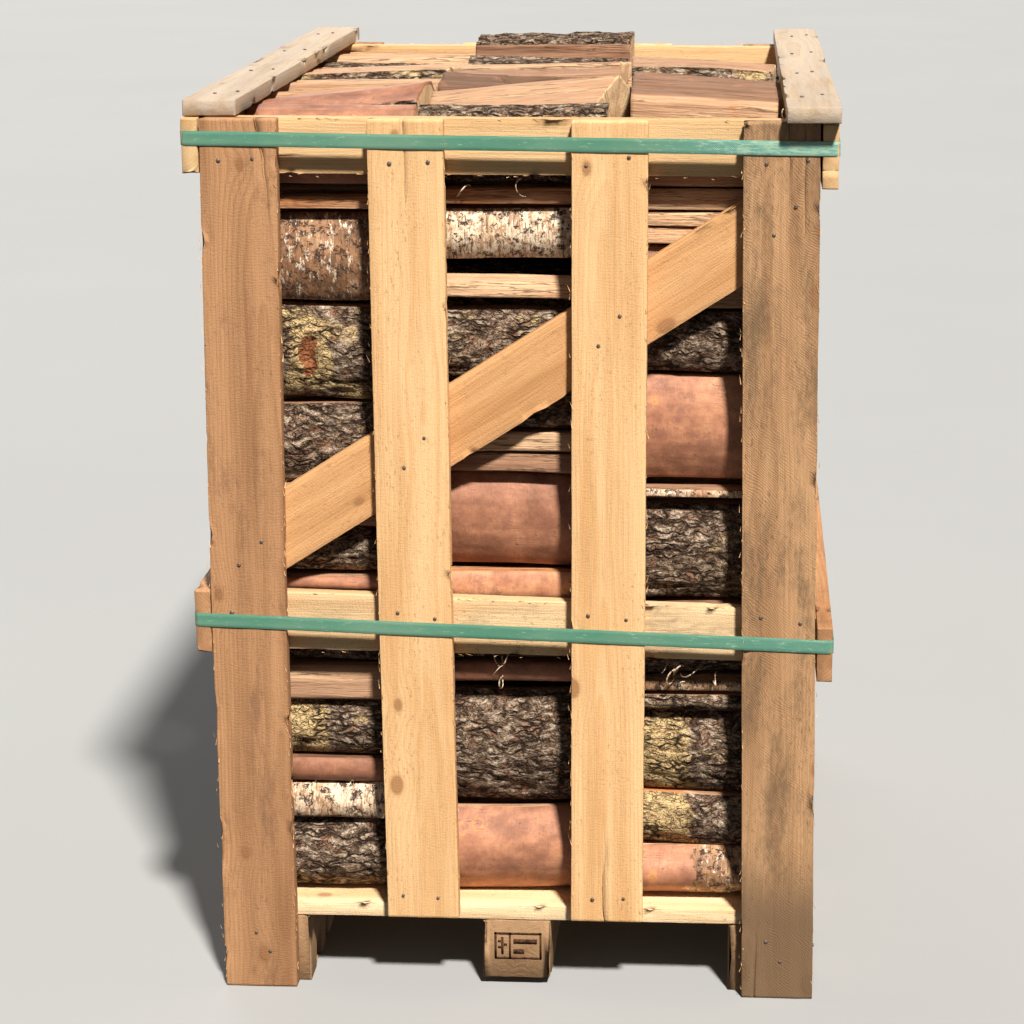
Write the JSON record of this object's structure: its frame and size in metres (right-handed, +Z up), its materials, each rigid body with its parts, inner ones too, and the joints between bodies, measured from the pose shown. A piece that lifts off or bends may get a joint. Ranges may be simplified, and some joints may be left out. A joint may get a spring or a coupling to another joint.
{
  "type": "crated birch firewood bundle",
  "caption": "Split birch firewood stacked crosswise in a tall slatted pallet crate with braced panels, cap boards and two plastic straps.",
  "frame": {"origin": "middle of the crate's footprint on the ground", "axes": "+Z up, +Y from the front panel towards the back panel, +X to the right seen from the front; the logs lie along X"},
  "size_m": [0.858, 1.0534, 1.262],
  "materials": {
    "fresh_pine": "rough-sawn, fresh yellow pine",
    "aged_pine": "rough-sawn, brown and stained",
    "grey_pine": "rough-sawn, weathered grey-tan",
    "bearer_pine": "rough-sawn bearer with waney edges",
    "birch_split": "riven birch and peeled inner bark",
    "birch_bark": "furrowed dark birch bark with pale papery patches",
    "green_band": "embossed green strapping",
    "nail_steel": "bright nail heads"
  },
  "bodies": {
    "root": {"back_brace": "fresh_pine", "back_middle_rail": "fresh_pine", "back_post_left": "aged_pine", "back_post_right": "aged_pine", "back_slat_left": "fresh_pine", "back_slat_right": "fresh_pine", "back_top_rail": "fresh_pine", "band_lower": "green_band", "band_upper": "green_band", "bearer_centre": "bearer_pine", "bearer_left": "bearer_pine", "bearer_right": "bearer_pine", "cap_left": "grey_pine", "cap_right": "grey_pine", "deck_board_1": "fresh_pine", "deck_board_2": "fresh_pine", "deck_board_3": "fresh_pine", "deck_board_4": "fresh_pine", "deck_board_5": "fresh_pine", "front_brace": "fresh_pine", "front_middle_rail": "fresh_pine", "front_post_left": "aged_pine", "front_post_right": "aged_pine", "front_slat_left": "fresh_pine", "front_slat_right": "fresh_pine", "front_top_rail": "fresh_pine", "left_side_middle_rail": "fresh_pine", "left_side_slat_1": "fresh_pine", "left_side_slat_2": "fresh_pine", "left_side_slat_3": "fresh_pine", "left_side_slat_4": "fresh_pine", "left_side_top_rail": "fresh_pine", "log_stack_centre": "birch_bark", "log_stack_left": "birch_bark", "log_stack_right": "birch_bark", "right_side_middle_rail": "fresh_pine", "right_side_slat_1": "fresh_pine", "right_side_slat_2": "fresh_pine", "right_side_slat_3": "fresh_pine", "right_side_slat_4": "fresh_pine", "right_side_top_rail": "fresh_pine", "top_log_centre_1": "birch_bark", "top_log_centre_2": "birch_split", "top_log_centre_3": "birch_split", "top_log_centre_4": "birch_split", "top_log_centre_5": "birch_split", "top_log_centre_6": "birch_bark", "top_log_centre_7": "birch_bark", "top_log_left_1": "birch_split", "top_log_left_2": "birch_split", "top_log_left_3": "birch_split", "top_log_left_4": "birch_split", "top_log_left_5": "birch_split", "top_log_left_6": "birch_split", "top_log_left_7": "birch_split", "top_log_right_1": "birch_split", "top_log_right_2": "birch_split", "top_log_right_3": "birch_split", "top_log_right_4": "birch_split", "top_log_right_5": "birch_split"}
  },
  "joints": []
}
